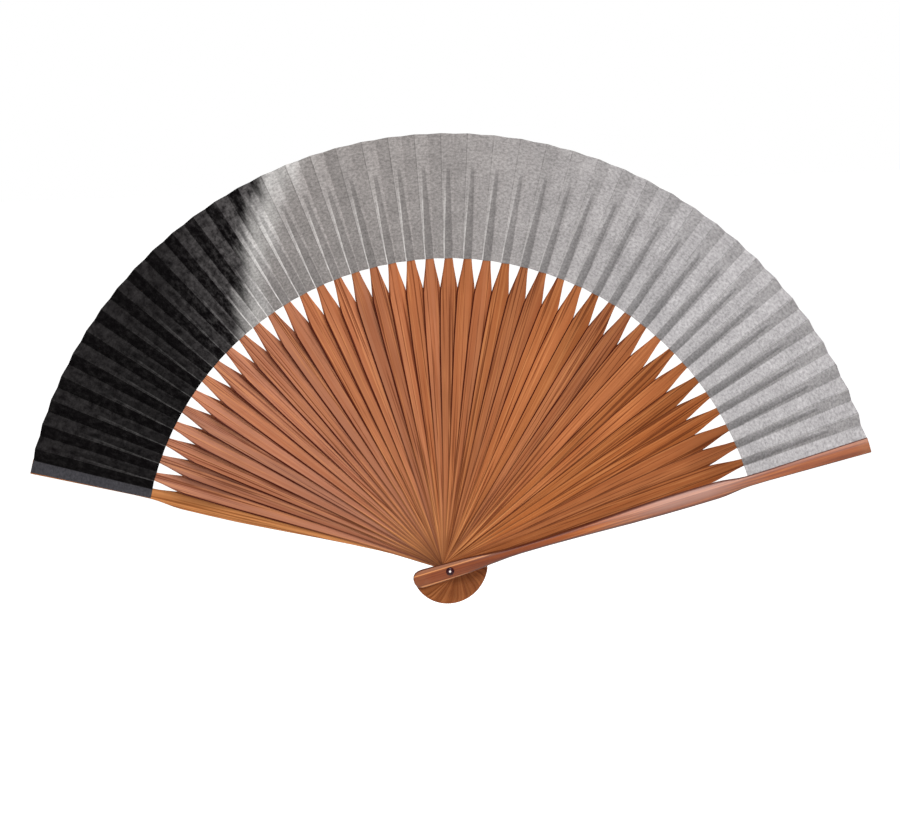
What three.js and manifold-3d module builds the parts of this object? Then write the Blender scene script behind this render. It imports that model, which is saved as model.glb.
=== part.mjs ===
// Folding fan with thin bamboo ribs, two thicker guards, a pleated leaf and a domed rivet.
// Millimetres and degrees. The pivot is the Y axis, the front faces -Y and the open fan stands up along +Z.
import * as THREE from "three";
import { mergeVertices } from "three/addons/utils/BufferGeometryUtils.js";
import Module from "manifold-3d";

// The open fan
const RIB_COUNT = 42;
const SPREAD = 150;
const TAIL_RADIUS = 17.0;

// Leaf
const LEAF_OUTER = 195;
const LEAF_INNER = 139.3;
const LEAF_THICKNESS = 0.15;
const GLUE_GAP = 0.03;
const PLEAT_TILT = 28;
const STICK_PANEL_SHARE = 0.48;

// Ribs
const RIB_THICKNESS = 0.36;
const RIB_GAP = 0.06;
const RIB_TAIL_HALF = 3.6;
const RIB_TAIL_ROUND = 3.0;
const RIB_PIVOT_HALF = 3.4;
const RIB_NECK_HALF = 3.3;
const RIB_NECK_AT = 40;
const RIB_FULL_AT = 100;
const RIB_SHOULDER_HALF = 4.25;
const SHOULDER_RUN = 15;
const SHOULDER_CURVE = 0.4;
const SLIVER_THICKNESS = 0.25;
const SLIVER_MARGIN = 0.3;
const SLIVER_TIP_HALF = 0.6;
const SLIVER_TIP_COVER = 16;

// Guards
const GUARD_THICKNESS = 3.5;
const GUARD_CROWN = 1.6;
const GUARD_HEAD_CROWN = 0.7;
const GUARD_WALL = 0.5;
const GUARD_FLAT_HALF = 0.9;
const GUARD_TAIL_HALF = 3.9;
const GUARD_TAIL_ROUND = 5.0;
const GUARD_PIVOT_HALF = 3.6;
const GUARD_WAIST_HALF = 1.9;
const GUARD_WAIST_AT = 33;
const GUARD_BELLY_HALF = 3.85;
const GUARD_BELLY_AT = 112;
const GUARD_SLIM_HALF = 2.45;
const GUARD_SLIM_RUN = 8;
const GUARD_TIP_HALF = 3.5;
const RELIEF_CLEARANCE = 0.1;

// Rivet
const PIN_RADIUS = 1.5;
const BORE_CLEARANCE = 0.15;
const HEAD_RADIUS = 1.85;
const HEAD_HEIGHT = 0.95;
const HEAD_SEAT = 0.04;
const CAP_WALL = 0.55;
const CAP_ENGAGEMENT = 0.8;

// Facets
const BORE_SIDES = 12;
const ROUND_SIDES = 24;
const DOME_STEPS = 5;

const radians = THREE.MathUtils.degToRad;
const pitchAngle = SPREAD / (RIB_COUNT + 1);
const firstAngle = 90 - SPREAD / 2;
const panelHalfAngle = radians((pitchAngle * STICK_PANEL_SHARE) / 2);
const pleatSlope = Math.tan(radians(PLEAT_TILT));
const pleatCos = Math.cos(radians(PLEAT_TILT));

// The ribs lie one behind the other, so that each is one thickness and one gap further back.
const stackPitch = RIB_THICKNESS + RIB_GAP;
const ribDepth = (rib) => (rib - (RIB_COUNT + 1) / 2) * stackPitch;
const halfStack = ((RIB_COUNT - 1) / 2) * stackPitch + RIB_THICKNESS / 2 + RIB_GAP;
const guardOuter = halfStack + GUARD_THICKNESS;

// The leaf lies on the front of each sliver. Its thickness is measured along the pivot here.
const leafDepth = LEAF_THICKNESS / pleatCos;
const leafLift = (SLIVER_THICKNESS / 2 + GLUE_GAP) / pleatCos + leafDepth / 2;
const pleatHeight = (radius) => radius * Math.sin(panelHalfAngle) * pleatSlope;

const shoulderAt = LEAF_INNER - SHOULDER_RUN;

// The sticks lie flat up to their full width and turn steadily about their own length from there to the leaf.
const turnShare = (at) => THREE.MathUtils.clamp((at - RIB_FULL_AT) / (LEAF_INNER - RIB_FULL_AT), 0, 1);
const stickTurn = (at) => radians(PLEAT_TILT) * turnShare(at);

// The guards thin down in step with that turn. They clear the folded pleats and the widest part of the ribs.
const flatReach = RIB_THICKNESS / 2 + RIB_GAP;
const pleatReach = pleatHeight(LEAF_OUTER) + leafLift + 1.5 * leafDepth + GLUE_GAP - flatReach;
const shoulderReach = RIB_SHOULDER_HALF * Math.sin(stickTurn(shoulderAt)) - RIB_GAP;
const guardRelief = Math.max(pleatReach, shoulderReach / turnShare(shoulderAt)) + RELIEF_CLEARANCE;

const sliverTip = LEAF_OUTER - SLIVER_TIP_COVER;
const sliverEdgeHalf = (LEAF_INNER * Math.sin(panelHalfAngle)) / pleatCos - SLIVER_MARGIN;
const boreRadius = PIN_RADIUS + BORE_CLEARANCE;

const wasm = await Module();
wasm.setup();

const smooth = THREE.MathUtils.smoothstep;

// A closed body through rings of points that all have the same number of points.
function loft(rings) {
  const count = rings[0].length;
  const last = (rings.length - 1) * count;
  const points = rings.flat().flatMap((p) => [p.x, p.y, p.z]);
  const faces = [];
  for (let ring = 0; ring < rings.length - 1; ring++) {
    for (let i = 0; i < count; i++) {
      const a = ring * count + i;
      const b = ring * count + ((i + 1) % count);
      faces.push(a, a + count, b, b, a + count, b + count);
    }
  }
  for (let i = 1; i < count - 1; i++) {
    faces.push(0, i, i + 1);
    faces.push(last, last + i + 1, last + i);
  }
  const geometry = new THREE.BufferGeometry();
  geometry.setAttribute("position", new THREE.Float32BufferAttribute(points, 3));
  geometry.setIndex(faces);
  return geometry;
}

function solidFrom(geometry) {
  const bare = geometry.clone();
  bare.deleteAttribute("normal");
  bare.deleteAttribute("uv");
  const merged = mergeVertices(bare, 1e-4);
  const mesh = new wasm.Mesh({
    numProp: 3,
    vertProperties: new Float32Array(merged.attributes.position.array),
    triVerts: new Uint32Array(merged.index.array),
  });
  return new wasm.Manifold(mesh);
}

function geometryFrom(solid) {
  const mesh = solid.getMesh();
  const geometry = new THREE.BufferGeometry();
  geometry.setAttribute("position", new THREE.BufferAttribute(mesh.vertProperties, 3));
  geometry.setIndex(new THREE.BufferAttribute(mesh.triVerts, 1));
  geometry.computeVertexNormals();
  return geometry;
}

// Cuts the pivot bore through a stick whose length runs along X.
function bored(geometry) {
  const cutter = new THREE.CylinderGeometry(boreRadius, boreRadius, 4 * guardOuter, BORE_SIDES);
  return geometryFrom(solidFrom(geometry).subtract(solidFrom(cutter)));
}

// Stations along a stick, from its tail to its tip: distance from the pivot and half the width there.
// The round tail is a superellipse, and each later key is reached by steps that are eased by its curve.
function stickStations(tailRound, tailHalf, keys) {
  const stations = [];
  for (const share of [0.985, 0.9, 0.7, 0.4, 0]) {
    const half = tailHalf * Math.pow(1 - Math.pow(share, 2.6), 1 / 2.6);
    stations.push({ at: -(TAIL_RADIUS - tailRound * (1 - share)), half });
  }
  for (const key of keys) {
    const from = stations[stations.length - 1];
    for (let step = 1; step <= key.steps; step++) {
      const t = step / key.steps;
      const ease = THREE.MathUtils.lerp(t, smooth(t, 0, 1), key.curve ?? 1);
      const at = THREE.MathUtils.lerp(from.at, key.at, t);
      stations.push({ at, half: THREE.MathUtils.lerp(from.half, key.half, ease) });
    }
  }
  return stations;
}

// One rib, flat over most of its length and turned about its own length towards the leaf,
// so that its sliver lies along its pleat with its upper edge towards the viewer.
function ribGeometry() {
  const stations = stickStations(RIB_TAIL_ROUND, RIB_TAIL_HALF, [
    { at: 0, half: RIB_PIVOT_HALF, steps: 1 },
    { at: RIB_NECK_AT, half: RIB_NECK_HALF, steps: 1 },
    { at: RIB_FULL_AT, half: RIB_SHOULDER_HALF, steps: 3 },
    { at: shoulderAt, half: RIB_SHOULDER_HALF, steps: 2 },
    { at: LEAF_INNER, half: sliverEdgeHalf, steps: 4, curve: SHOULDER_CURVE },
    { at: sliverTip, half: SLIVER_TIP_HALF, steps: 1 },
  ]);
  const rings = stations.map(({ at, half }) => {
    const twist = stickTurn(at);
    const thin = smooth(at, shoulderAt, LEAF_INNER);
    const deep = THREE.MathUtils.lerp(RIB_THICKNESS, SLIVER_THICKNESS, thin) / 2;
    const across = new THREE.Vector3(0, -Math.sin(twist), Math.cos(twist));
    const forward = new THREE.Vector3(0, -Math.cos(twist), -Math.sin(twist));
    const corner = (side, face) =>
      new THREE.Vector3(at, 0, 0)
        .addScaledVector(across, side * half)
        .addScaledVector(forward, face * deep);
    return [corner(-1, 1), corner(1, 1), corner(1, -1), corner(-1, -1)];
  });
  return bored(loft(rings));
}

// One guard: a flat inner face that falls away towards the leaf, and a crowned outer face with a flat ridge.
// The crown is low at the rivet, full from the waist on and cut down where the guard grows thin.
// It is made as the front guard, with its inner face at the front of the stack of ribs.
function guardGeometry() {
  const stations = stickStations(GUARD_TAIL_ROUND, GUARD_TAIL_HALF, [
    { at: 0, half: GUARD_PIVOT_HALF, steps: 2 },
    { at: GUARD_WAIST_AT, half: GUARD_WAIST_HALF, steps: 5 },
    { at: GUARD_BELLY_AT, half: GUARD_BELLY_HALF, steps: 6 },
    { at: shoulderAt, half: GUARD_BELLY_HALF, steps: 1 },
    { at: LEAF_INNER, half: GUARD_SLIM_HALF, steps: 4 },
    { at: LEAF_INNER + GUARD_SLIM_RUN, half: GUARD_SLIM_HALF, steps: 1 },
    { at: LEAF_OUTER, half: GUARD_TIP_HALF, steps: 2, curve: 0 },
  ]);
  const rings = stations.map(({ at, half }) => {
    const relief = guardRelief * turnShare(at);
    const flat = Math.min(GUARD_FLAT_HALF, half / 2);
    const full = THREE.MathUtils.lerp(GUARD_HEAD_CROWN, GUARD_CROWN, smooth(at, 0, GUARD_WAIST_AT));
    const crown = Math.min(full, GUARD_THICKNESS - relief - GUARD_WALL);
    const inner = (side) => new THREE.Vector3(at, -(halfStack + relief), side * half);
    const outer = (side, share) => {
      const across = side * THREE.MathUtils.lerp(flat, half, share);
      return new THREE.Vector3(at, -(guardOuter - crown * share * share), across);
    };
    const shares = [1, 0.8, 0.5, 0];
    return [
      inner(1),
      inner(-1),
      ...shares.map((share) => outer(-1, share)),
      ...shares.map((share) => outer(1, share)).reverse(),
    ];
  });
  return bored(loft(rings));
}

// The leaf as one pleated sheet. Every stick carries a panel between two creases, and the panels
// between the sticks join a crease near the viewer to the next one further back.
function leafGeometry() {
  const guardFace = halfStack + guardRelief - GLUE_GAP - leafDepth / 2;
  const creases = [];
  for (let stick = 0; stick <= RIB_COUNT + 1; stick++) {
    for (const side of [-1, 1]) {
      const angle = radians(firstAngle + stick * pitchAngle) + side * panelHalfAngle;
      const depthAt = (radius) => {
        if (stick === 0) return -guardFace;
        if (stick === RIB_COUNT + 1) return guardFace;
        return ribDepth(stick) - leafLift - side * pleatHeight(radius);
      };
      creases.push({ angle, depthAt });
    }
  }
  const rings = creases.map(({ angle, depthAt }) => {
    const corner = (radius, face) =>
      new THREE.Vector3(
        radius * Math.cos(angle),
        depthAt(radius) + (face * leafDepth) / 2,
        radius * Math.sin(angle),
      );
    return [corner(LEAF_INNER, 1), corner(LEAF_OUTER, 1), corner(LEAF_OUTER, -1), corner(LEAF_INNER, -1)];
  });
  return loft(rings);
}

// Points of a quarter-round dome profile from its rim to its top on the axis.
function domeProfile(rim, height, base) {
  const points = [];
  for (let step = 0; step <= DOME_STEPS; step++) {
    const a = (step / DOME_STEPS) * (Math.PI / 2);
    const radius = step === DOME_STEPS ? 0 : rim * Math.cos(a);
    points.push(new THREE.Vector2(radius, base + height * Math.sin(a)));
  }
  return points;
}

// The pin with its front head. The profile runs from the top of the head to the far end of the pin.
function rivetGeometry() {
  const seat = guardOuter + HEAD_SEAT;
  const head = domeProfile(HEAD_RADIUS, HEAD_HEIGHT, seat).reverse();
  const far = guardOuter + HEAD_SEAT + CAP_ENGAGEMENT;
  const profile = [
    ...head.map((p) => new THREE.Vector2(p.x, -p.y)),
    new THREE.Vector2(PIN_RADIUS, -seat),
    new THREE.Vector2(PIN_RADIUS, far),
    new THREE.Vector2(0, far),
  ];
  return new THREE.LatheGeometry(profile, ROUND_SIDES);
}

// The rear head, a domed cap with a blind bore for the end of the pin.
function capGeometry() {
  const seat = guardOuter + HEAD_SEAT;
  const rim = boreRadius + CAP_WALL;
  const floor = seat + CAP_ENGAGEMENT + BORE_CLEARANCE;
  const profile = [
    new THREE.Vector2(0, floor),
    new THREE.Vector2(boreRadius, floor),
    new THREE.Vector2(boreRadius, seat),
    new THREE.Vector2(rim, seat),
    ...domeProfile(rim, HEAD_HEIGHT, floor - HEAD_HEIGHT / 2),
  ];
  return new THREE.LatheGeometry(profile, ROUND_SIDES);
}

const ribBamboo = new THREE.MeshStandardMaterial({ color: "#b8774d", roughness: 0.6, metalness: 0 });
const guardBamboo = new THREE.MeshStandardMaterial({ color: "#a8623c", roughness: 0.35, metalness: 0 });
const dyedLeaf = new THREE.MeshStandardMaterial({ color: "#b4b1b0", roughness: 0.95, metalness: 0 });
const darkHorn = new THREE.MeshStandardMaterial({ color: "#2a1410", roughness: 0.2, metalness: 0 });

const fan = new THREE.Group();

function addPiece(name, geometry, material) {
  const mesh = new THREE.Mesh(geometry, material);
  mesh.name = name;
  fan.add(mesh);
  return mesh;
}

// A stick's length points along X before it is turned to its place in the open fan.
function turnStick(mesh, stick) {
  mesh.rotation.y = -radians(firstAngle + stick * pitchAngle);
}

const guard = guardGeometry();
turnStick(addPiece("front_guard", guard, guardBamboo), 0);

const rib = ribGeometry();
for (let number = 1; number <= RIB_COUNT; number++) {
  const mesh = addPiece(`rib_${String(number).padStart(2, "0")}`, rib, ribBamboo);
  mesh.position.y = ribDepth(number);
  turnStick(mesh, number);
}

// The rear guard is the front one turned over about its own length.
const turned = new THREE.Group();
turned.rotation.y = -radians(firstAngle + SPREAD);
const rear = addPiece("rear_guard", guard, guardBamboo);
rear.rotation.x = Math.PI;
turned.add(rear);
fan.add(turned);

addPiece("leaf", leafGeometry(), dyedLeaf);
addPiece("pivot_rivet", rivetGeometry(), darkHorn);
addPiece("rivet_cap", capGeometry(), darkHorn);

export default fan;
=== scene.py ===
"""Open folding fan: bamboo sticks on a dark rivet, with a pleated leaf that is dyed black at one end.

Metres. The pivot is the Y axis, the front faces -Y and the open fan stands up along +Z.
"""

import logging
import math
import random
from dataclasses import dataclass, field
from enum import Enum
from typing import Any

import bpy
from mathutils import Matrix, Vector, noise


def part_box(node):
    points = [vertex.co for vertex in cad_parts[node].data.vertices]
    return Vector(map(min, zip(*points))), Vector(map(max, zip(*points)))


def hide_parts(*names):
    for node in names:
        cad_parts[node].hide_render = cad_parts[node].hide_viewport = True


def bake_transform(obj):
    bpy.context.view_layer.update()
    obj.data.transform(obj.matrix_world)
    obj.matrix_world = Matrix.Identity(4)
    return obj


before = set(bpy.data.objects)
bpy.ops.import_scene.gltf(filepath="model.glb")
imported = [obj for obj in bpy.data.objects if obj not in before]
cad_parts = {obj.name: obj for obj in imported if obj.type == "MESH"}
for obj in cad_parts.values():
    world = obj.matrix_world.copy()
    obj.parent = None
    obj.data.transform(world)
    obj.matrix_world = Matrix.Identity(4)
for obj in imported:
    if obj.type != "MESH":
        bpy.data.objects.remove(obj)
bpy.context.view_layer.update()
LOG = logging.getLogger("folding_fan")

MM = 0.001
DEGREE = math.radians(1)
IMAGE_WIDTH = 900
SENSOR_WIDTH_MM = 36.0
STICK_MIDDLE = 90 * MM
SHARP_ANGLE = math.radians(40)
WELD_REACH = 0.001 * MM
WHITE = (1.0, 1.0, 1.0, 1.0)

Tree = bpy.types.NodeTree
Socket = bpy.types.NodeSocket

# The two ends of a range, and the same with the shares before and after it
Span = tuple[float, float]
Run = tuple[float, float, float, float]

# Values that the leaf's mesh carries for its finish
LEAF_MARKS = ("sliver", "face", "crease", "ridge", "lot")

# Sockets of the colour form of the Mix node
MIX_A = 6
MIX_B = 7
MIX_RESULT = 2


def linear(hex_colour: str) -> tuple[float, float, float, float]:
    """Turns an sRGB hex colour into linear light.

    Args:
        hex_colour: A colour such as "#a0522d".

    Returns:
        Linear red, green, blue and an alpha of 1.
    """
    parts = [int(hex_colour[i:i + 2], 16) / 255 for i in (1, 3, 5)]
    rgb = [c / 12.92 if c <= 0.04045 else ((c + 0.055) / 1.055) ** 2.4 for c in parts]
    return rgb[0], rgb[1], rgb[2], 1.0


def smoothstep(low: float, high: float, value: float) -> float:
    """Eases a value from 0 at low to 1 at high.

    Args:
        low: Where the rise begins.
        high: Where the rise ends.
        value: The value to ease.

    Returns:
        A number from 0 to 1.
    """
    t = min(1.0, max(0.0, (value - low) / (high - low)))
    return t * t * (3 - 2 * t)


def add_node(tree: Tree, kind: str, inputs: dict[Any, Any], **settings: Any) -> Any:
    """Adds one shader node, sets it up and links it.

    Args:
        tree: The tree that gets the node.
        kind: Blender's name of the node type, without its first part.
        inputs: Input names or numbers, each with a socket to link or a plain value.
        **settings: Properties of the node itself.

    Returns:
        The outputs of the new node.
    """
    node = tree.nodes.new("ShaderNode" + kind)
    for name, value in settings.items():
        setattr(node, name, value)
    for key, value in inputs.items():
        if isinstance(value, Socket):
            tree.links.new(value, node.inputs[key])
        else:
            node.inputs[key].default_value = value
    return node.outputs


def new_material(name: str) -> tuple[bpy.types.Material, Tree]:
    """Makes an empty node material.

    Args:
        name: The name of the material.

    Returns:
        The material and its node tree.
    """
    material = bpy.data.materials.new(name)
    material.use_nodes = True
    material.node_tree.nodes.clear()
    return material, material.node_tree


def set_material(piece: bpy.types.Object, material: bpy.types.Material) -> None:
    """Makes a material the only one on a piece.

    Args:
        piece: The object to dress.
        material: Its finish.
    """
    if not piece.material_slots:
        piece.data.materials.append(material)
    for slot in piece.material_slots:
        slot.material = material


class StickKind(Enum):
    """The kinds of stick in the fan."""

    RIB = "rib"
    FRONT_GUARD = "front_guard"
    REAR_GUARD = "rear_guard"


@dataclass(frozen=True)
class FanLayout:
    """Sizes of the solids that the leaf and the finishes follow."""

    ribs: int = 42
    spread: float = math.radians(150)
    stack_step: float = 0.42 * MM
    leaf_inner: float = 139.3 * MM
    leaf_outer: float = 195 * MM
    leaf_depth: float = 0.17 * MM
    leaf_lift: float = 0.2605 * MM
    pleat_tilt: float = math.radians(28)
    stick_panel_share: float = 0.48
    sliver_edge_half: float = 2.005 * MM
    sliver_tip_half: float = 0.6 * MM
    sliver_tip: float = 179 * MM
    neck_at: float = 40 * MM
    neck_half: float = 3.3 * MM
    full_at: float = 100 * MM
    shoulder_half: float = 4.25 * MM
    shoulder_run: float = 15 * MM

    @property
    def pitch(self) -> float:
        """The angle from one stick to the next."""
        return self.spread / (self.ribs + 1)

    @property
    def panel_half(self) -> float:
        """Half the angle of the panel that lies on a stick."""
        return self.pitch * self.stick_panel_share / 2

    def angle(self, stick: int) -> float:
        """The direction of a stick, from 0 for the front guard to the rear guard."""
        return math.pi / 2 - self.spread / 2 + stick * self.pitch

    def depth(self, stick: int) -> float:
        """How far back a rib lies in the stack."""
        return (stick - (self.ribs + 1) / 2) * self.stack_step

    def pleat_height(self, radius: float) -> float:
        """How far a crease stands off the middle of its pleat."""
        return radius * math.sin(self.panel_half) * math.tan(self.pleat_tilt)

    def sliver_half(self, radius: float) -> float:
        """Half the width of the sliver under the leaf at a radius."""
        share = (radius - self.leaf_inner) / (self.sliver_tip - self.leaf_inner)
        share = min(1.0, max(0.0, share))
        return self.sliver_edge_half + share * (self.sliver_tip_half - self.sliver_edge_half)


class Ease(Enum):
    """How a ramp runs between its two ends."""

    STRAIGHT = "LINEAR"
    SMOOTH = "SMOOTHSTEP"


@dataclass(frozen=True)
class Ramp:
    """A share that changes over part of a value's range.

    The run gives the two ends of that range, in the given unit, and the shares before and after it, which may
    be sockets.
    """

    value: Socket
    run: tuple[float, float, Any, Any]
    unit: float = 1.0
    ease: Ease = Ease.STRAIGHT


def product(tree: Tree, *factors: Ramp | Socket) -> Socket:
    """Multiplies ramps, and sockets as they are.

    Args:
        tree: The tree that gets the nodes.
        *factors: What is multiplied.

    Returns:
        The product at each place.
    """
    result = None
    for factor in factors:
        value = factor
        if isinstance(factor, Ramp):
            low, high, start, end = factor.run
            low, high = low * factor.unit, high * factor.unit
            value = add_node(
                tree,
                "MapRange",
                {"Value": factor.value, "From Min": low, "From Max": high, "To Min": start, "To Max": end},
                interpolation_type=factor.ease.value,
            )[0]
        if result is not None:
            value = add_node(tree, "Math", {0: result, 1: value}, operation="MULTIPLY")[0]
        result = value
    return result


def cover(tree: Tree, body: Socket | str, colour: Socket | str, *factors: Ramp | Socket) -> Socket:
    """Lays a colour over another, by a share that is a product.

    Args:
        tree: The tree that gets the nodes.
        body: The colour below, as a socket or an sRGB hex value.
        colour: The colour above, likewise.
        *factors: What the share is made of.

    Returns:
        The colour with its new layer.
    """
    below, above = (linear(one) if isinstance(one, str) else one for one in (body, colour))
    inputs = {0: product(tree, *factors), MIX_A: below, MIX_B: above}
    return add_node(tree, "Mix", inputs, data_type="RGBA")[MIX_RESULT]


def end_material(tree: Tree, inputs: dict[str, Any]) -> None:
    """Ends a material with its shader and its output."""
    shader = add_node(tree, "BsdfPrincipled", inputs)
    add_node(tree, "OutputMaterial", {"Surface": shader[0]})


@dataclass(frozen=True)
class StickNodes:
    """The node tree of a stick's finish, with the sockets that its marks share.

    The place runs along the stick from the pivot and across it. The lay is the stick's direction, and the
    shade its own brightness.
    """

    tree: Tree
    along: Socket
    across: Socket
    lay: Socket
    shade: Socket
    grain: dict[str, Socket]


@dataclass(frozen=True)
class BambooFinish:
    """Smoked and stained bamboo, split thin, planed and rubbed with wax.

    The fibre bundles run the length of the stick and show as fine lines of two browns. The ends are handled
    to another tone, and the planed face has a low, silky gloss.
    """

    name: str = "bamboo_smoked_planed"
    golden: str = "#ae6534"
    rosy: str = "#a9745f"
    ruddy: str = "#904822"
    line: str = "#5a230c"
    pale_and_highlight: str = "#d8915a"
    ends: str = "#d58a50"
    edge_dark: str = "#400d00"
    painted_sheen: str = "#ba988d"

    # Widths and lengths. Bundles of fibre about 0.3 mm wide are too fine to show, so they are drawn coarser.
    fibre_mm: Span = (0.7, 70.0)
    hair_mm: Span = (0.6, 49.0)
    streak_mm: Span = (2.4, 210.0)
    cloud_mm: Span = (14.0, 30.0)
    blotch_mm: Span = (0.9, 1.8)
    layer_mm: float = 6.0
    grain_seed: float = 61.0
    ends_from_mm: float = 88.0
    ends_run_mm: float = 5.0
    ends_strength: float = 0.7
    edge_shade_mm: float = 0.78
    shaded_edge: bool = True
    slope_strength: float = 0.0
    worn_and_highlit_head: bool = False
    roughness: float = 0.46
    specular: float = 0.08
    ior: float = 1.5
    line_from: float = 0.53
    line_run: float = 0.09
    line_strength: float = 0.75
    hair_strength: float = 0.45
    bump_mm: float = 0.03
    bump_strength: float = 0.5

    # Runs of a noise
    streaks: Run = (0.42, 0.7, 0.0, 0.45)
    hairs: Span = (0.52, 0.62)
    clouds: Run = (0.3, 0.75, 0.9, 1.1)
    blotches: Run = (0.35, 0.6, 0.35, 1.0)
    gloss: Run = (0.3, 0.7, -0.07, 0.1)

    # Runs along a rib, in mm from the pivot: its line of painted shade, the painted highlight beside it and
    # its tail
    line_crowded: Run = (-10.0, 80.0, 0.1, 1.0)
    line_free: Run = (125.0, 131.0, 1.0, 0.3)
    highlight_mm: Span = (18.0, 65.0)
    tail_highlight: Run = (-5.0, 5.0, 0.45, 1.0)
    tail_aged: Run = (-5.0, 5.0, 0.65, 0.0)

    # Runs round the fan, in degrees, for how fine and how faint the painted shade is, and a run of a rib's
    # brightness for its painted highlight
    line_finer: Run = (35.0, 100.0, 1.45, 1.0)
    line_faint: Run = (20.0, 50.0, 0.65, 1.0)
    bright_highlight: Run = (0.82, 1.01, 0.0, 0.9)
    line_core: float = 0.62
    highlight_width: float = 1.6

    # Runs along a guard and then across it, in mm, some for a painted sheen and painted bevel highlights, and
    # a run of how far its face is turned
    head_bevel_highlight: Run = (40.0, 65.0, 1.0, 0.0)
    head_soiled: Run = (40.0, 65.0, 0.6, 0.0)
    tip_dulled: Run = (130.0, 165.0, 0.0, 0.26)
    belly_sheen: Run = (65.0, 100.0, 0.0, 0.5)
    belly_sheen_end: Run = (120.0, 150.0, 1.0, 0.2)
    upper_sheen: Run = (-3.5, -0.5, 0.1, 1.0)
    upper_bevel_highlight: Run = (1.7, 1.95, 0.0, 0.75)
    upper_dark_band: Run = (2.15, 2.5, 0.0, 0.7)
    lower_bevel_highlight: Run = (-2.9, -3.15, 0.0, 0.75)
    slope: Span = (0.68, 0.9)

    def make(self, layout: FanLayout) -> bpy.types.Material:
        """Builds the material.

        Args:
            layout: The fan's sizes.

        Returns:
            Bamboo that follows each stick by its lay_angle, tone and shade properties.
        """
        material, tree = new_material(self.name)
        place = add_node(tree, "TexCoord", {})
        lay, tone, shade = (
            add_node(tree, "Attribute", {}, attribute_type="OBJECT", attribute_name=name)["Fac"]
            for name in ("lay_angle", "tone", "shade")
        )
        turned = {"Vector": place["Object"], "Angle": lay}
        stick = add_node(tree, "VectorRotate", turned, rotation_type="Y_AXIS")[0]
        parts = add_node(tree, "SeparateXYZ", {0: stick})
        grain = self.grain(tree, stick, tone)
        nodes = StickNodes(tree, parts["X"], parts["Z"], lay, shade, grain)
        body = cover(tree, self.golden, self.rosy, tone)
        for label, run, colour in (
            ("streak", self.streaks, self.ruddy),
            ("hair", (*self.hairs, 0.0, self.hair_strength * self.line_strength), self.pale_and_highlight),
            ("fibre", (self.line_from, self.line_from + self.line_run, 0.0, self.line_strength), self.line),
        ):
            body = cover(tree, body, colour, Ramp(grain[label], run, ease=Ease.SMOOTH))
        body = self.handle_ends(nodes, body)
        if self.shaded_edge:
            body = self.shade_edge(nodes, body, layout)
        if self.worn_and_highlit_head:
            body = self.wear_and_highlight_head(nodes, body)
        if self.slope_strength > 0:
            body = self.darken_slope(tree, body, place["Normal"])
        tone_shift = {0: 1.0, MIX_A: body, MIX_B: product(tree, Ramp(grain["cloud"], self.clouds), shade)}
        body = add_node(tree, "Mix", tone_shift, data_type="RGBA", blend_type="MULTIPLY")[MIX_RESULT]
        low, high, glossy, dull = self.gloss
        gloss = Ramp(grain["fibre"], (low, high, self.roughness + glossy, self.roughness + dull))
        bump = {"Height": grain["fibre"], "Strength": self.bump_strength, "Distance": self.bump_mm * MM}
        end_material(
            tree,
            {
                "Base Color": body,
                "Roughness": product(tree, gloss),
                "IOR": self.ior,
                "Specular IOR Level": self.specular,
                "Normal": add_node(tree, "Bump", bump, invert=True)[0],
            },
        )
        return material

    def grain(self, tree: Tree, stick: Socket, tone: Socket) -> dict[str, Socket]:
        """Draws the noises of the grain, which differ from stick to stick.

        Args:
            tree: The tree that gets the nodes.
            stick: The place in the stick's own frame, with its length along X.
            tone: The stick's tone, which also sets its grain apart.

        Returns:
            The noises of the fibres, the hairs, the streaks, the clouds and the blotches.
        """
        apart = {0: tone, 1: self.grain_seed}
        seed = add_node(tree, "Math", apart, operation="MULTIPLY")[0]
        grain = {}
        for label, (width, length) in (
            ("fibre", self.fibre_mm),
            ("hair", self.hair_mm),
            ("streak", self.streak_mm),
            ("cloud", self.cloud_mm),
            ("blotch", self.blotch_mm),
        ):
            spread = tuple(1 / (size * MM) for size in (length, self.layer_mm, width))
            scaled = add_node(tree, "VectorMath", {0: stick, 1: spread}, operation="MULTIPLY")
            grain[label] = add_node(
                tree,
                "TexNoise",
                {"Vector": scaled[0], "W": seed, "Scale": 1.0, "Detail": 2.0, "Roughness": 0.6},
                noise_dimensions="4D",
            )["Fac"]
        return grain

    def handle_ends(self, nodes: StickNodes, body: Socket) -> Socket:
        """Mottles the two ends of a stick.

        Args:
            nodes: The tree and its shared sockets.
            body: The colour of the stick.

        Returns:
            The colour with its ends.
        """
        tree = nodes.tree
        away = add_node(tree, "Math", {0: nodes.along, 1: STICK_MIDDLE}, operation="SUBTRACT")[0]
        away = add_node(tree, "Math", {0: away}, operation="ABSOLUTE")[0]
        run = (self.ends_from_mm, self.ends_from_mm + self.ends_run_mm, 0.0, self.ends_strength)
        patches = Ramp(nodes.grain["blotch"], self.blotches)
        return cover(tree, body, self.ends, Ramp(away, run, MM, Ease.SMOOTH), patches)

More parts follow.
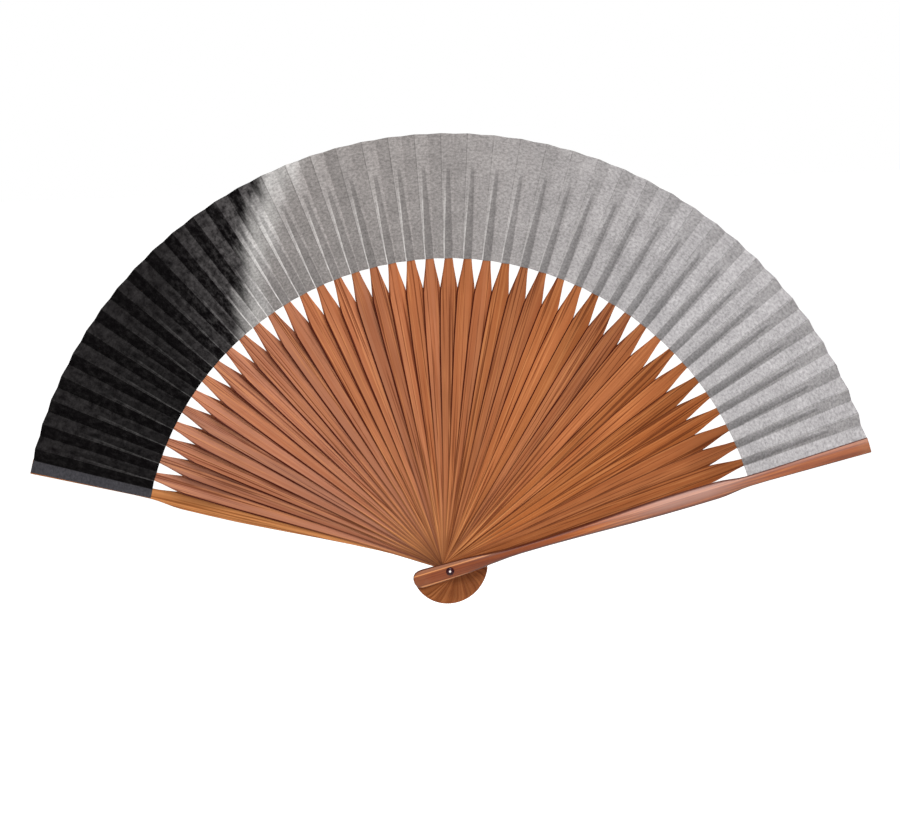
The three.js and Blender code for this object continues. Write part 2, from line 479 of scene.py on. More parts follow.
    def shade_edge(self, nodes: StickNodes, body: Socket, layout: FanLayout) -> Socket:
        """Paints shade along the edge of a rib that lies over the next rib, beside a painted highlight near
        the pivot.

        The shade stands for the shadow of the one rib on the other. The ribs near the front guard have the
        finer and fainter lines of shade, and the brighter ribs get the stronger highlight.

        Args:
            nodes: The tree and its shared sockets.
            body: The colour of the rib.
            layout: The fan's sizes, which give the rib's width.

        Returns:
            The colour with a thin line of painted shade along the edge, a painted highlight beside it near
            the pivot, and an aged tail.
        """
        tree, along, lay = nodes.tree, nodes.along, nodes.lay
        shoulder = layout.leaf_inner - layout.shoulder_run
        wide, taper, turn = (
            product(tree, Ramp(along, run))
            for run in (
                (layout.neck_at, layout.full_at, layout.neck_half, layout.shoulder_half),
                (shoulder, layout.leaf_inner, 0.0, layout.shoulder_half - layout.sliver_edge_half),
                (layout.full_at, layout.leaf_inner, 0.0, layout.pleat_tilt),
            )
        )
        half = add_node(tree, "Math", {0: wide, 1: taper}, operation="SUBTRACT")[0]
        lean = add_node(tree, "Math", {0: turn}, operation="COSINE")[0]
        # Past the pivot the tails lie the other way round, so that the line changes sides there.
        side = add_node(tree, "Math", {0: along}, operation="SIGN")[0]
        edge = {0: product(tree, half, lean), 1: product(tree, nodes.across, side)}
        inset = add_node(tree, "Math", edge, operation="SUBTRACT")[0]
        inset = product(tree, inset, Ramp(lay, self.line_finer, DEGREE))
        # The painted shade is faint where the ribs crowd at the pivot and where they stand free near the
        # leaf.
        crowded, free = (Ramp(along, run, MM) for run in (self.line_crowded, self.line_free))
        strength = product(tree, crowded, free, Ramp(lay, self.line_faint, DEGREE))
        far = add_node(tree, "Math", {0: along}, operation="ABSOLUTE")[0]
        # A pale painted highlight on the rib's edge, strongest near the pivot and on the brighter ribs,
        # weaker on the tails.
        own = product(tree, Ramp(nodes.shade, self.bright_highlight))
        tone_shift = product(tree, Ramp(far, (*self.highlight_mm, own, 0.0), MM), Ramp(along, self.tail_highlight, MM))
        body = cover(tree, body, self.ruddy, Ramp(along, self.tail_aged, MM))
        # First a pale painted highlight on the rib's edge, then a dark line of painted shade, the shadow cast
        # on the next rib.
        for width, amount, colour in (
            (self.highlight_width * self.edge_shade_mm, tone_shift, self.pale_and_highlight),
            (self.edge_shade_mm, strength, self.edge_dark),
        ):
            run = (self.line_core * width, width, amount, 0.0)
            body = cover(tree, body, colour, Ramp(inset, run, MM, Ease.SMOOTH))
        return body

    def wear_and_highlight_head(self, nodes: StickNodes, body: Socket) -> Socket:
        """Marks a guard: a dark head with painted bevel highlights, a painted sheen on the belly, a dull tip.

        Args:
            nodes: The tree and its shared sockets.
            body: The colour of the guard.

        Returns:
            The colour with its marks. The painted bevel highlights fade out along the handle.
        """
        tree, along, across = nodes.tree, nodes.along, nodes.across
        for run in (self.head_soiled, self.tip_dulled):
            body = cover(tree, body, self.line, Ramp(along, run, MM))
        # Painted sheen: a pale gloss of the lamps on the upper side of the belly.
        belly = (Ramp(along, run, MM) for run in (self.belly_sheen, self.belly_sheen_end))
        body = cover(tree, body, self.painted_sheen, *belly, Ramp(across, self.upper_sheen, MM))
        # Painted highlights along the two bevels of the head, with a dark band inside the upper edge.
        handle = product(tree, Ramp(along, self.head_bevel_highlight, MM))
        for run, colour in (
            (self.upper_bevel_highlight, self.pale_and_highlight),
            (self.upper_dark_band, self.line),
            (self.lower_bevel_highlight, self.pale_and_highlight),
        ):
            body = cover(tree, body, colour, Ramp(across, run, MM, Ease.SMOOTH), handle)
        return body

    def darken_slope(self, tree: Tree, body: Socket, normal: Socket) -> Socket:
        """Darkens the steep sides of a crowned stick.

        Args:
            tree: The tree that gets the nodes.
            body: The colour of the stick.
            normal: The direction of its surface.

        Returns:
            The colour with dark outlines.
        """
        facing = add_node(tree, "SeparateXYZ", {0: normal})["Y"]
        facing = add_node(tree, "Math", {0: facing}, operation="ABSOLUTE")[0]
        steep = Ramp(facing, (*self.slope, self.slope_strength, 0.0), ease=Ease.SMOOTH)
        return cover(tree, body, self.edge_dark, steep)


@dataclass(frozen=True)
class LeafNodes:
    """The node tree of the leaf's finish, with the sockets and sizes that its marks share.

    The place runs along the leaf, with true lengths at the map's radius, and out from the pivot.
    """

    tree: Tree
    along: Socket
    out: Socket
    noises: dict[str, Socket]
    marks: dict[str, Socket]
    layout: FanLayout
    map_radius: float


@dataclass(frozen=True)
class DyedLeafFinish:
    """Thin unglazed cotton paper, dyed grey in the vat and brushed black from one end.

    It has no gloss. Fibres give it a fine grain, the grey is lighter at one end, the brush leaves a smeared
    edge with a washed-out band beside it, the nearer creases and the slivers' edges carry pale lines, partly
    rubbed and partly painted highlight, with painted shade beside them, and the slivers under it show as
    strips of painted shade.
    """

    name: str = "leaf_cotton_paper_dyed"
    light: str = "#a4a1a2"
    warm: str = "#908b89"
    washed: str = "#c4c2c0"
    black: str = "#0a0809"
    rubbed: str = "#565353"
    backed: str = "#403f43"
    rubbed_and_highlit_crease: str = "#dedbd9"
    shaded_crease: str = "#4c4847"

    # Sizes along the leaf and out. The fibres of the paper are too fine to show, so they are drawn coarser.
    grain_mm: Span = (1.32, 0.99)
    cloud_mm: Span = (11.0, 11.0)
    smear_mm: Span = (3.0, 16.0)
    smudge_mm: Span = (2.5, 4.0)
    smear_reach_mm: float = 8.0
    panel_step_mm: float = 3.0
    strip_soft_mm: float = 0.2
    strip_strength: float = 0.9
    face_rub_and_light: float = 0.16
    sliver_shade: float = 0.64
    tip_shade: float = 0.72
    rim_edge: float = math.radians(113.5)
    inner_edge: float = math.radians(129.5)
    roughness: float = 0.95
    specular: float = 0.04
    ior: float = 1.45
    bump_mm: float = 0.12
    bump_strength: float = 0.6

    # Runs round the leaf, in degrees
    fade: Run = (45.0, 100.0, 0.0, 1.0)
    ridge_highlight: Run = (60.0, 95.0, 0.15, 1.0)
    ridge_shaded: Run = (50.0, 85.0, 0.6, 0.0)

    # Runs past the brushed edge, in mm
    wash: Run = (-24.0, -6.0, 0.0, 0.62)
    dye: Run = (-9.0, 6.0, 0.0, 1.0)
    rub_worn: Run = (5.0, 45.0, 1.0, 0.22)

    # Runs away from the pivot, in mm
    crease_highlight: Run = (145.0, 185.0, 1.0, 0.1)
    crease_shade: Run = (145.0, 185.0, 0.1, 0.7)

    # Runs of the noises, the panels and the share of black
    rub: Span = (0.4, 0.88)
    grain_shade: Run = (0.36, 0.64, 0.72, 1.28)
    cloud_shade: Run = (0.3, 0.7, 0.86, 1.12)
    panel_shade: Run = (-1.0, 1.0, 0.95, 1.05)
    line_broken: Run = (0.35, 0.65, 0.2, 1.0)
    line_on_black: Run = (0.0, 1.0, 1.0, 0.08)

    def make(self, layout: FanLayout, map_radius: float) -> bpy.types.Material:
        """Builds the material.

        Args:
            layout: The fan's sizes.
            map_radius: The radius at which the leaf's map has true lengths.

        Returns:
            The leaf's finish, drawn on the attributes of its mesh.
        """
        material, tree = new_material(self.name)
        flat = add_node(tree, "Attribute", {}, attribute_name="leaf_map")["Vector"]
        marks = {
            name: add_node(tree, "Attribute", {}, attribute_name=name)["Fac"]
            for name in LEAF_MARKS
        }
        noises = {}
        for label, (along, out), detail in (
            ("grain", self.grain_mm, 4.0),
            ("cloud", self.cloud_mm, 3.0),
            ("smear", self.smear_mm, 3.0),
            ("smudge", self.smudge_mm, 4.0),
        ):
            spread = (1 / (along * MM), 1 / (out * MM), 1.0)
            scaled = add_node(tree, "VectorMath", {0: flat, 1: spread}, operation="MULTIPLY")
            noises[label] = add_node(
                tree,
                "TexNoise",
                {"Vector": scaled[0], "Scale": 1.0, "Detail": detail, "Roughness": 0.7},
            )["Fac"]
        parts = add_node(tree, "SeparateXYZ", {0: flat})
        nodes = LeafNodes(tree, parts["X"], parts["Y"], noises, marks, layout, map_radius)
        past = self.past_edge(nodes)
        # The stick panels get more rubbing: partly rubbed wear, partly painted light, since at the black end
        # they face the lamps.
        faces = {0: marks["face"], 1: self.face_rub_and_light, 2: noises["smudge"]}
        rub_and_light = add_node(tree, "Math", faces, operation="MULTIPLY_ADD")[0]
        tone_shift = product(tree, Ramp(past, self.rub_worn, MM))
        black = cover(tree, self.black, self.rubbed, Ramp(rub_and_light, (*self.rub, 0.0, tone_shift), ease=Ease.SMOOTH))
        dye = product(tree, Ramp(past, self.dye, MM, Ease.SMOOTH))
        guard = (layout.angle(layout.ribs + 1) - layout.panel_half) * map_radius
        strip = (guard, guard + self.strip_soft_mm * MM, 0.0, self.strip_strength)
        colour = self.light
        for over, share in (
            (self.warm, Ramp(nodes.along, self.fade, DEGREE * map_radius, Ease.SMOOTH)),
            (self.washed, Ramp(past, self.wash, MM, Ease.SMOOTH)),
            (black, dye),
            (self.backed, Ramp(nodes.along, strip, ease=Ease.SMOOTH)),
        ):
            colour = cover(tree, colour, over, share)
        colour = self.mottle(nodes, colour)
        colour = self.rub_lines(nodes, colour, dye)
        bump = {"Height": noises["grain"], "Strength": self.bump_strength, "Distance": self.bump_mm * MM}
        end_material(
            tree,
            {
                "Base Color": colour,
                "Roughness": self.roughness,
                "IOR": self.ior,
                "Specular IOR Level": self.specular,
                "Normal": add_node(tree, "Bump", bump)[0],
            },
        )
        return material

    def past_edge(self, nodes: LeafNodes) -> Socket:
        """Measures how far a place lies past the brushed edge, which slants from the rim to the inner edge.

        The brush smears the edge, and catches each fold on its own, so that it steps from panel to panel.

        Args:
            nodes: The tree and its shared sockets.

        Returns:
            A length that is positive where the leaf is black.
        """
        tree, layout = nodes.tree, nodes.layout
        ends = (self.inner_edge * nodes.map_radius, self.rim_edge * nodes.map_radius)
        edge = product(tree, Ramp(nodes.out, (layout.leaf_inner, layout.leaf_outer, *ends)))
        past = add_node(tree, "Math", {0: nodes.along, 1: edge}, operation="SUBTRACT")[0]
        reach = self.smear_reach_mm * MM
        for value, scale, shift in (
            (nodes.noises["smear"], 2 * reach, -reach),
            (nodes.marks["lot"], self.panel_step_mm * MM, 0.0),
        ):
            step = {0: value, 1: scale, 2: shift}
            part = add_node(tree, "Math", step, operation="MULTIPLY_ADD")[0]
            past = add_node(tree, "Math", {0: past, 1: part}, operation="ADD")[0]
        return past

    def mottle(self, nodes: LeafNodes, colour: Socket) -> Socket:
        """Breaks up the dye with the grain of the paper, its clouds and its panels, and paints shade over the
        slivers under it.

        Args:
            nodes: The tree and its shared sockets.
            colour: The even colour.

        Returns:
            The uneven colour, with the most painted shade over the wide ends of the slivers.
        """
        tree, noises, marks = nodes.tree, nodes.noises, nodes.marks
        inner, tip = nodes.layout.leaf_inner, nodes.layout.sliver_tip
        # Painted shade: the slivers' shadow through the thin paper, deepest at their wide ends.
        backed = product(tree, Ramp(nodes.out, (inner, tip, self.sliver_shade, self.tip_shade)))
        shade = product(
            tree,
            Ramp(noises["grain"], self.grain_shade),
            Ramp(noises["cloud"], self.cloud_shade),
            Ramp(marks["lot"], self.panel_shade),
            Ramp(marks["sliver"], (0.0, 1.0, 1.0, backed)),
        )
        uneven = {0: 1.0, MIX_A: colour, MIX_B: shade}
        return add_node(tree, "Mix", uneven, data_type="RGBA", blend_type="MULTIPLY")[MIX_RESULT]

    def rub_lines(self, nodes: LeafNodes, colour: Socket, dye: Socket) -> Socket:
        """Paints the broken lines along the creases and along the nearer edges of the slivers.

        The nearer creases and the ridges get pale lines, partly rubbed and partly painted highlight,
        strongest near the sticks and towards the black end. Beside each nearer crease, on the panel that
        falls back from it, lies a line of painted shade, strongest towards the rim, and the ridges get
        painted shade at the light end.

        Args:
            nodes: The tree and its shared sockets.
            colour: The colour of the leaf.
            dye: The share of black, on which the lines are weaker.

        Returns:
            The colour with its lines.
        """
        tree, along, out = nodes.tree, nodes.along, nodes.out
        degree = DEGREE * nodes.map_radius
        broken = product(tree, Ramp(nodes.noises["smudge"], self.line_broken), Ramp(dye, self.line_on_black))
        pale_and_highlight = product(tree, Ramp(out, self.crease_highlight, MM), Ramp(along, self.ridge_highlight, degree))
        dark = product(tree, Ramp(out, self.crease_shade, MM))
        shaded = product(tree, Ramp(along, self.ridge_shaded, degree))
        # Pale lines: partly rubbed, partly painted highlight. Dark lines: painted shade beside the nearer
        # creases and along the ridges.
        for mark, run, over in (
            ("crease", (-1.0, -0.1, dark, 0.0), self.shaded_crease),
            ("crease", (0.1, 1.0, 0.0, pale_and_highlight), self.rubbed_and_highlit_crease),
            ("ridge", (0.0, 1.0, 0.0, pale_and_highlight), self.rubbed_and_highlit_crease),
            ("ridge", (0.3, 1.0, 0.0, shaded), self.shaded_crease),
        ):
            colour = cover(tree, colour, over, Ramp(nodes.marks[mark], run), broken)
        return colour


@dataclass(frozen=True)
class HornFinish:
    """Dark polished horn, turned to a dome round the end of a steel pin.

    It is nearly black with a wine-red depth and faint clouds along its layers, with a small painted highlight
    in its middle.
    """

    name: str = "rivet_horn_polished"
    dark: str = "#22020a"
    red: str = "#430612"
    spot_highlight: str = "#efe3e0"
    spot_mm: float = 0.5
    spot_soft: float = 0.3
    cloud_mm: float = 1.2
    clouds: Run = (0.4, 0.7, 0.0, 1.0)
    gloss: Run = (0.3, 0.7, 0.1, 0.22)
    specular: float = 0.15
    ior: float = 1.45

    def make(self) -> bpy.types.Material:
        """Builds the material.

        Returns:
            The finish of the rivet and its rear cap.
        """
        material, tree = new_material(self.name)
        place = add_node(tree, "TexCoord", {})["Object"]
        size = 1 / (self.cloud_mm * MM)
        layers = {"Vector": place, "Scale": size, "Detail": 3.0, "Roughness": 0.6}
        cloud = add_node(tree, "TexNoise", layers)["Fac"]
        colour = cover(tree, self.dark, self.red, Ramp(cloud, self.clouds))
        flat = {0: place, 1: (1.0, 0.0, 1.0)}
        across = add_node(tree, "VectorMath", flat, operation="MULTIPLY")[0]
        away = add_node(tree, "VectorMath", {0: across}, operation="LENGTH")["Value"]
        # A painted highlight: a small bright spot in the middle of the dome.
        spot = ((1 - self.spot_soft) * self.spot_mm, (1 + self.spot_soft) * self.spot_mm, 1.0, 0.0)
        colour = cover(tree, colour, self.spot_highlight, Ramp(away, spot, MM, Ease.SMOOTH))
        end_material(
            tree,
            {
                "Base Color": colour,
                "Roughness": product(tree, Ramp(cloud, self.gloss)),
                "IOR": self.ior,
                "Specular IOR Level": self.specular,
            },
        )
        return material


@dataclass
class Sticks:
    """The ribs and the two guards, dressed on their own solids."""

    layout: FanLayout
    rib_edge: float = 0.05 * MM
    guard_edge: float = 0.3 * MM
    tone_drift: float = 0.75
    shade_range: Span = (0.77, 1.03)
    seed: int = 7
    rib_finish: BambooFinish = field(default_factory=BambooFinish)

    # The skin of the cane, scraped, stained and polished: a warm red gloss over dark fibres, worn by the
    # hand, with a painted sheen and painted bevel highlights
    front_finish: BambooFinish = BambooFinish(
        name="bamboo_skin_polished_red",
        golden="#a45622",
        rosy="#9c5026",
        ruddy="#7e3816",
        line="#5c220c",
        ends="#a3683f",
        fibre_mm=(0.8, 70.0),
        hair_mm=(0.9, 49.0),
        blotch_mm=(1.2, 2.4),
        ends_from_mm=98.0,
        ends_run_mm=4.0,
        ends_strength=0.6,
        shaded_edge=False,
        slope_strength=0.9,
        worn_and_highlit_head=True,
        roughness=0.36,
        specular=0.3,
        line_from=0.47,
        line_strength=0.62,
    )

    # The inside of the cane, planed and waxed: paler and duller, with faint fibres
    rear_finish: BambooFinish = BambooFinish(
        name="bamboo_planed_honey",
        golden="#b67948",
        rosy="#b07145",
        ruddy="#9c5c30",
        line="#74401c",
        ends="#8a5328",
        ends_from_mm=98.0,
        shaded_edge=False,
        slope_strength=0.6,
        roughness=0.42,
    )

    def dress(self) -> None:
        """Gives every stick its bamboo, with its own tone and its own grain direction."""
        draw = random.Random(self.seed)
        ribs = self.rib_finish.make(self.layout)
        for number in range(1, self.layout.ribs + 1):
            drift = self.tone_drift * (number / self.layout.ribs) ** 2
            tone = drift + (1 - self.tone_drift) * draw.random()
            shade = draw.uniform(*self.shade_range)
            self.dress_stick(StickKind.RIB, f"rib_{number:02d}", number, tone, shade, ribs)
        for kind, stick, finish in (
            (StickKind.FRONT_GUARD, 0, self.front_finish),
            (StickKind.REAR_GUARD, self.layout.ribs + 1, self.rear_finish),
        ):
            material = finish.make(self.layout)
            self.dress_stick(kind, kind.value, stick, draw.random(), 1.0, material)

    def dress_stick(
        self,
        kind: StickKind,
        node: str,
        stick: int,
        tone: float,
        shade: float,
        finish: bpy.types.Material,
    ) -> None:
        """Dresses one stick.

        Args:
            kind: Which kind of stick it is.
            node: The name of its solid.
            stick: Its number, from the front guard.
            tone: Its place between the golden and the rosy brown.
            shade: Its brightness.
            finish: Its material.
        """
        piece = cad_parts[node]
        piece["lay_angle"] = self.layout.angle(stick)
        piece["tone"] = tone
        piece["shade"] = shade
        set_material(piece, finish)
        ease_edges(piece, self.rib_edge if kind is StickKind.RIB else self.guard_edge)
        LOG.info("%s %s dressed in %s", kind.value, node, finish.name)


def ease_edges(piece: bpy.types.Object, width: float) -> None:
    """Welds a solid's facets and eases its edges, so that its curved faces shade smoothly.

    Args:
        piece: The solid's object.
        width: How far each edge is cut back.
    """
    weld = piece.modifiers.new("joined_facets", "WELD")
    weld.merge_threshold = WELD_REACH
    bevel = piece.modifiers.new("eased_edges", "BEVEL")
    bevel.width = width
    bevel.segments = 2
    bevel.limit_method = "ANGLE"
    bevel.angle_limit = SHARP_ANGLE
    normals = piece.modifiers.new("even_faces", "WEIGHTED_NORMAL")
    normals.keep_sharp = False


@dataclass(frozen=True)
class LeafPoint:
    """One point of the leaf: its place, its share of the opening turn and the marks that the finish reads."""

    angle: float
    depth: float
    radius: float
    turn: float
    lot: float
    face: float = 0.0
    sliver: float = 0.0
    crease: float = 0.0
    ridge: float = 0.0


@dataclass
class Leaf:
    """The pleated leaf, one sheet over the slivers and the two guards."""

    layout: FanLayout
    finish: DyedLeafFinish = field(default_factory=DyedLeafFinish)
    map_radius: float = 167 * MM
    row_shares: tuple[float, ...] = (
        0, 0.05, 0.1, 0.16, 0.26, 0.37, 0.48, 0.59, 0.67, 0.705, 0.74, 0.79, 0.86, 0.93, 1
    )
    crease_soft: float = 0.3 * MM
    sliver_rise: float = 0.2 * MM
    rise_run: float = 0.35 * MM
    slack: float = 0.11 * MM
    slack_noise: tuple[float, float, float] = (2.3, 11.0, 30.0)
    crease_wander: float = 0.07 * MM
    wander_noise: tuple[float, float, float] = (1.7, 5.3, 18.0)
    rim_notch: float = 0.65 * MM
    notch_run: float = 4 * MM
    notch_drift: float = 0.6
    flat_run: float = 8 * MM
    seed: int = 11

    # Where the slivers stop showing, and where the lines painted along their nearer edges stop, counted from
    # their tips
    tip_fade: Span = (-1 * MM, 1.5 * MM)
    ridge_fade: Span = (-14 * MM, -4 * MM)

    # Room beside the slivers, and the points across a panel between two of them
    top_margin: float = 0.06 * MM
    top_room: float = 0.5 * MM
    foot_room: float = 0.3 * MM
    between_shares: Span = (0.4, 0.7)

    # Set when the leaf is built: the depth of the guards' inner faces, and a lot drawn for each panel
    guard_face: float = 0.0
    lots: list[float] = field(default_factory=list)

    def rows(self) -> list[float]:
        """The radii of the leaf's rows, closer together where the slivers end."""
        span = self.layout.leaf_outer - self.layout.leaf_inner
        return [self.layout.leaf_inner + share * span for share in self.row_shares]

    def crease_point(self, stick: int, side: int, radius: float) -> tuple[float, float]:
        """The angle and the depth of a crease, which strays a little from its true line.

        Args:
            stick: The number of the stick that carries the crease.
            side: -1 for the further crease and 1 for the nearer one.
            radius: The distance from the pivot.

        Returns:
            The crease's angle about the pivot and its depth along it.
        """
        plan = self.layout
        angle = plan.angle(stick) + side * plan.panel_half
        if stick == 0:
            return angle, -self.guard_face
        if stick == plan.ribs + 1:
            return angle, self.guard_face
        depth = plan.depth(stick) - plan.leaf_lift - side * plan.pleat_height(radius)
        along, across, out = self.wander_noise
        wander = self.crease_wander * noise.noise(Vector((stick * along, side * across, radius * out)))
        return angle, depth + self.rise(radius) + wander

    def before_tip(self, fade: Span, radius: float) -> float:
        """How much is left, at a radius, of what fades out near the tips of the slivers."""
        start, end = (self.layout.sliver_tip + step for step in fade)
        return 1 - smoothstep(start, end, radius)

    def rise(self, radius: float) -> float:
        """How far a sliver stands out under the leaf, which lies flat on its wide end."""
        inner = self.layout.leaf_inner
        rise = self.sliver_rise * self.before_tip(self.tip_fade, radius)
        return rise * smoothstep(inner, inner + self.flat_run, radius)

    def notch(self, stick: int, radius: float) -> float:
        """How far the rim is cut back at a far crease, because it was trimmed while it was folded."""
        outer = self.layout.leaf_outer
        share = 1 - self.notch_drift * stick / self.layout.ribs
        return share * self.rim_notch * smoothstep(outer - self.notch_run, outer, radius)

    def stick_columns(self, stick: int, radius: float) -> list[LeafPoint]:
        """The points across the panel on one stick.

        Args:
            stick: The stick's number.
            radius: The distance from the pivot.

        Returns:
            The points, from the further crease to the nearer one.
        """
        plan = self.layout
        half = radius * math.sin(plan.panel_half) / math.cos(plan.pleat_tilt)
        top = min(plan.sliver_half(radius) + self.top_margin, half - self.top_room)
        foot = min(top + self.rise_run, half - self.foot_room)
        soft = half - self.crease_soft
        near = self.crease_point(stick, 1, radius)
        far = self.crease_point(stick, -1, radius)
        lift = self.rise(radius)
        ridge = self.before_tip(self.ridge_fade, radius)
        guard = stick in (0, plan.ribs + 1)
        columns = []
        for across in (-half, -soft, -foot, -top, 0.0, top, foot, soft, half):
            share = (across / half + 1) / 2
            on_sliver = 0.0 if guard or abs(across) > top else 1.0
            columns.append(
                LeafPoint(
                    angle=far[0] + share * (near[0] - far[0]),
                    depth=far[1] + share * (near[1] - far[1]) - on_sliver * lift,
                    radius=radius - (1 - share) * self.notch(stick, radius),
                    turn=stick / (plan.ribs + 1),
                    lot=self.lots[2 * stick],
                    face=1.0,
                    sliver=on_sliver * self.before_tip(self.tip_fade, radius),
                    crease=1.0 if across == half else 0.0,
                    ridge=ridge if across == foot and not guard else 0.0,
                )
            )
        return columns

    def between_columns(self, stick: int, radius: float) -> list[LeafPoint]:
        """The points across the panel between a stick and the next one, without its creases.

        Args:
            stick: The number of the stick before the panel.
            radius: The distance from the pivot.

        Returns:
            The points, on from the stick.
        """
        plan = self.layout
        start = self.crease_point(stick, 1, radius)
        end = self.crease_point(stick + 1, -1, radius)
        width = radius * (end[0] - start[0]) / math.cos(plan.pleat_tilt)
        soft = self.crease_soft / width
        along, across, out = self.slack_noise
        belly = self.slack * noise.noise(Vector((stick * along, across, radius * out)))
        columns = []
        for share in (soft, 3 * soft, *self.between_shares, 1 - soft):
            bow = belly * 4 * share * (1 - share)
            columns.append(
                LeafPoint(
                    angle=start[0] + share * (end[0] - start[0]),
                    depth=start[1] + share * (end[1] - start[1]) + bow,
                    radius=radius - share * self.notch(stick + 1, radius),
                    turn=(stick + share) / (plan.ribs + 1),
                    lot=self.lots[2 * stick + 1],
                    crease=-1.0 if share == soft else 0.0,
                )
            )
        return columns

    def build(self) -> bpy.types.Object:
        """Makes the leaf as one thin closed sheet.

        Returns:
            The leaf's object, in place of its plain solid.
        """
        plan = self.layout
        self.guard_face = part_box("leaf")[1].y - plan.leaf_depth / 2
        draw = random.Random(self.seed)
        self.lots = [draw.uniform(-1, 1) for _ in range(2 * plan.ribs + 4)]
        rows = []
        for radius in self.rows():
            row: list[LeafPoint] = []
            for stick in range(plan.ribs + 2):
                row += self.stick_columns(stick, radius)
                if stick <= plan.ribs:
                    row += self.between_columns(stick, radius)
            rows.append(row)
        points = []
        cells = []
        for side in (-1, 1):
            for row in rows:
                for cell in row:
                    x = cell.radius * math.cos(cell.angle)
                    z = cell.radius * math.sin(cell.angle)
                    points.append((x, cell.depth + side * plan.leaf_depth / 2, z))
                    cells.append(cell)
        mesh = bpy.data.meshes.new("leaf_sheet")
        mesh.from_pydata(points, [], self.faces(len(rows), len(rows[0])))
        mesh.validate()
        mesh.shade_smooth()
        mesh.set_sharp_from_angle(angle=SHARP_ANGLE)
        self.mark(mesh, cells)
        piece = bpy.data.objects.new("leaf_sheet", mesh)
        bpy.context.scene.collection.objects.link(piece)
        set_material(piece, self.finish.make(plan, self.map_radius))
        self.hang(piece, [cell.turn for cell in cells])
        LOG.info("leaf_sheet built with %d points", len(points))
        return piece

    def faces(self, rows: int, columns: int) -> list[tuple[int, int, int, int]]:
        """The faces of the closed sheet.

        Args:
            rows: The number of rows from the inner edge to the rim.
            columns: The number of points across each row.

        Returns:
            The corner numbers of each face, front first, then back, then the edges.
        """
        back = rows * columns
        faces = []
        for i in range(rows - 1):
            for j in range(columns - 1):
                a = i * columns + j
                b = a + columns
                faces.append((a, b, b + 1, a + 1))
                faces.append((back + a, back + a + 1, back + b + 1, back + b))
        for j in range(columns - 1):
            outer = (rows - 1) * columns + j
            faces.append((j, j + 1, back + j + 1, back + j))
            faces.append((outer, back + outer, back + outer + 1, outer + 1))
        for i in range(rows - 1):
            a = i * columns
            b = a + columns
            last = columns - 1
            faces.append((a, back + a, back + b, b))
            faces.append((a + last, b + last, back + b + last, back + a + last))
        return faces

    def mark(self, mesh: bpy.types.Mesh, cells: list[LeafPoint]) -> None:
        """Stores the values that the finish reads, on the leaf's points.

        Args:
            mesh: The leaf's mesh.
            cells: The leaf's points, in the order of the mesh.
        """
        flat = mesh.attributes.new("leaf_map", "FLOAT_VECTOR", "POINT")
        where = [v for cell in cells for v in (cell.angle * self.map_radius, cell.radius, 0.0)]
        flat.data.foreach_set("vector", where)
        for name in LEAF_MARKS:
            values = mesh.attributes.new(name, "FLOAT", "POINT")
            values.data.foreach_set("value", [getattr(cell, name) for cell in cells])

    def hang(self, piece: bpy.types.Object, turns: list[float]) -> None:
        """Hides the leaf's plain solid and bakes the sheet's placement into its mesh.

        Args:
            piece: The leaf's object.
            turns: The share of the opening angle by which each point would turn; not used.
        """
        plan = self.layout
        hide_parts("leaf")
        ends = [
            (plan.leaf_outer * math.cos(angle), 0.0, plan.leaf_outer * math.sin(angle))
            for angle in (plan.angle(0), plan.angle(plan.ribs + 1))
        ]
        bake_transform(piece)


@dataclass
class Rivet:
    """The pin with its domed heads."""

    finish: HornFinish = field(default_factory=HornFinish)
    edge: float = 0.06 * MM

    def dress(self) -> None:
        """Polishes the rivet and its rear cap."""
        horn = self.finish.make()
        for node in ("pivot_rivet", "rivet_cap"):
            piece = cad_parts[node]
            set_material(piece, horn)
            ease_edges(piece, self.edge)
            LOG.info("%s dressed in %s", node, horn.name)


@dataclass(frozen=True)
class Lamp:
    """One soft lamp of the studio."""

    name: str
    place: tuple[float, float, float]
    width: float
    height: float
    watts: float

    def hang(self, target: Vector) -> None:
        """Hangs the lamp and turns it to a point.

        Args:
            target: The point that it lights.
        """
        light = bpy.data.lights.new(self.name, "AREA")
        light.shape = "RECTANGLE"
        light.size = self.width
        light.size_y = self.height
        light.energy = self.watts
        lamp = bpy.data.objects.new(self.name, light)
        lamp.location = self.place
        lamp.rotation_euler = (target - Vector(self.place)).to_track_quat("-Z", "Y").to_euler()
        bpy.context.scene.collection.objects.link(lamp)


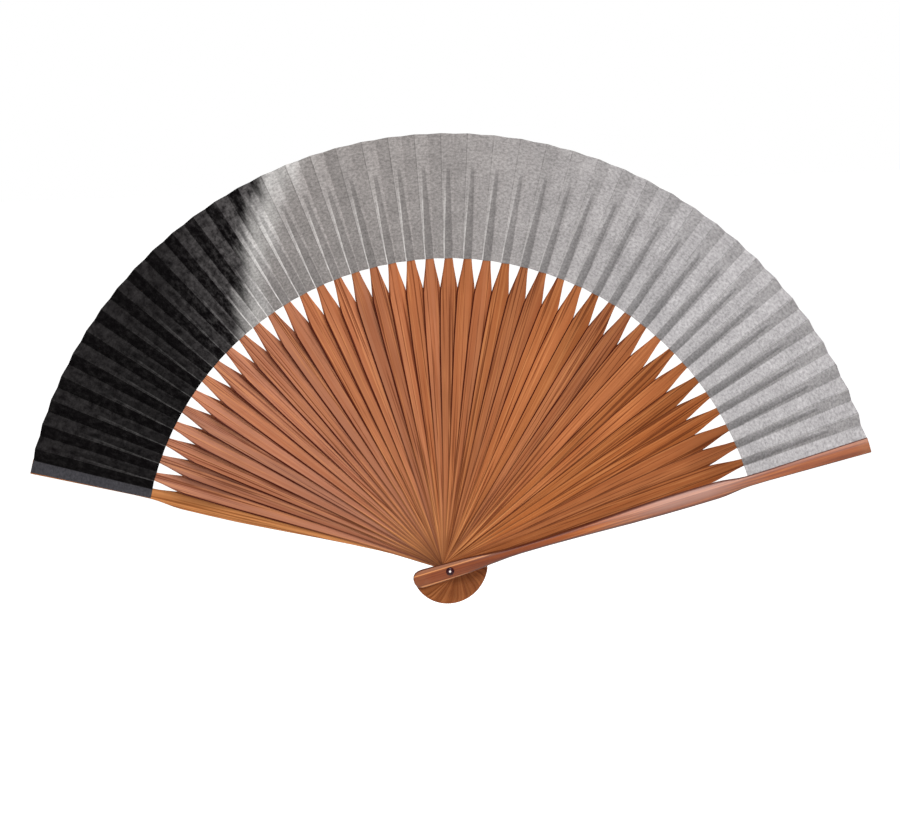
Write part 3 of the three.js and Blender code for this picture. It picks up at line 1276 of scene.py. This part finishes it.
@dataclass
class Studio:
    """The pale floor, the soft lamps and the white surround."""

    floor_height: float = -0.3
    floor_half: float = 8.0
    floor_glow: float = 0.9
    floor_tints: tuple[str, str] = ("#e6e5e3", "#ececea")
    floor_patches: float = 40.0
    ambient: float = 0.2
    target: Vector = field(default_factory=lambda: Vector((0, 0, 0.09)))
    lamps: tuple[Lamp, ...] = (
        Lamp("key_lamp", (0.1, -0.86, 1.22), 0.8, 0.6, 18.5),
        Lamp("window_lamp", (0.15, -1.35, 0.62), 0.4, 0.3, 7.0),
        Lamp("back_lamp", (-0.2, 1.15, 0.95), 0.9, 0.6, 16.0),
    )

    def build(self) -> None:
        """Sets up the floor, the lamps, the surround and the view transform."""
        self.lay_floor()
        for lamp in self.lamps:
            lamp.hang(self.target)
        self.surround()
        bpy.context.scene.view_settings.view_transform = "Standard"
        LOG.info("studio set up")

    def lay_floor(self) -> None:
        """Lays the pale floor, which looks white where it is lit and keeps the shadow."""
        half = self.floor_half
        height = self.floor_height
        mesh = bpy.data.meshes.new("floor")
        corners = [(-half, -half, height), (half, -half, height), (half, half, height), (-half, half, height)]
        mesh.from_pydata(corners, [], [(0, 1, 2, 3)])
        floor = bpy.data.objects.new("floor", mesh)
        bpy.context.scene.collection.objects.link(floor)
        material, tree = new_material("floor_matt_white")
        glow = {0: self.seen(tree), 1: self.floor_glow}
        grain = add_node(tree, "TexNoise", {"Scale": self.floor_patches, "Detail": 2.0})["Fac"]
        end_material(
            tree,
            {
                "Base Color": cover(tree, *self.floor_tints, grain),
                "Roughness": 0.9,
                "Specular IOR Level": 0.1,
                "Emission Color": WHITE,
                "Emission Strength": add_node(tree, "Math", glow, operation="MULTIPLY")[0],
            },
        )
        set_material(floor, material)

    def seen(self, tree: Tree) -> Socket:
        """Tells rays that show the background from rays that light the object.

        Args:
            tree: The tree that gets the nodes.

        Returns:
            A socket that is 1 for camera, glossy and transmission rays.
        """
        path = add_node(tree, "LightPath", {})
        seen = path["Is Camera Ray"]
        for other in ("Is Glossy Ray", "Is Transmission Ray"):
            either = {0: seen, 1: path[other]}
            seen = add_node(tree, "Math", either, operation="MAXIMUM")[0]
        return seen

    def surround(self) -> None:
        """Makes the world white where it is seen and softer where it lights the object."""
        world = bpy.data.worlds.new("surround")
        world.use_nodes = True
        tree = world.node_tree
        tree.nodes.clear()
        strength = product(tree, Ramp(self.seen(tree), (0.0, 1.0, self.ambient, 1.0)))
        glow = add_node(tree, "Background", {"Color": WHITE, "Strength": strength})
        add_node(tree, "OutputWorld", {"Surface": glow[0]})
        bpy.context.scene.world = world


@dataclass(frozen=True)
class PhotoCamera:
    """The camera, above the middle of the fan and looking a little down on it."""

    place: tuple[float, float, float] = (0.026, -1.4, 0.2534)
    yaw: float = math.radians(0.97)
    pitch: float = math.radians(-7.51)
    roll: float = math.radians(-2.09)
    focal_pixels: float = 3150.1
    clip_end: float = 50.0

    def set_up(self) -> None:
        """Places the camera and makes it the scene's own."""
        turn = Matrix.Identity(4)
        for angle, axis in ((self.yaw, "Z"), (math.pi / 2 + self.pitch, "X"), (self.roll, "Z")):
            turn = turn @ Matrix.Rotation(angle, 4, axis)
        data = bpy.data.cameras.new("photo_camera")
        data.sensor_fit = "HORIZONTAL"
        data.sensor_width = SENSOR_WIDTH_MM
        data.lens = self.focal_pixels * SENSOR_WIDTH_MM / IMAGE_WIDTH
        data.clip_end = self.clip_end
        camera = bpy.data.objects.new("photo_camera", data)
        camera.matrix_world = Matrix.Translation(self.place) @ turn
        bpy.context.scene.collection.objects.link(camera)
        bpy.context.scene.camera = camera
        LOG.info("camera set up")


def main() -> None:
    """Builds the fan and its studio."""
    logging.basicConfig(level=logging.INFO, format="%(name)s: %(message)s")
    layout = FanLayout()
    PhotoCamera().set_up()
    Studio().build()
    Sticks(layout).dress()
    Leaf(layout).build()
    Rivet().dress()


if __name__ == "__main__":
    main()
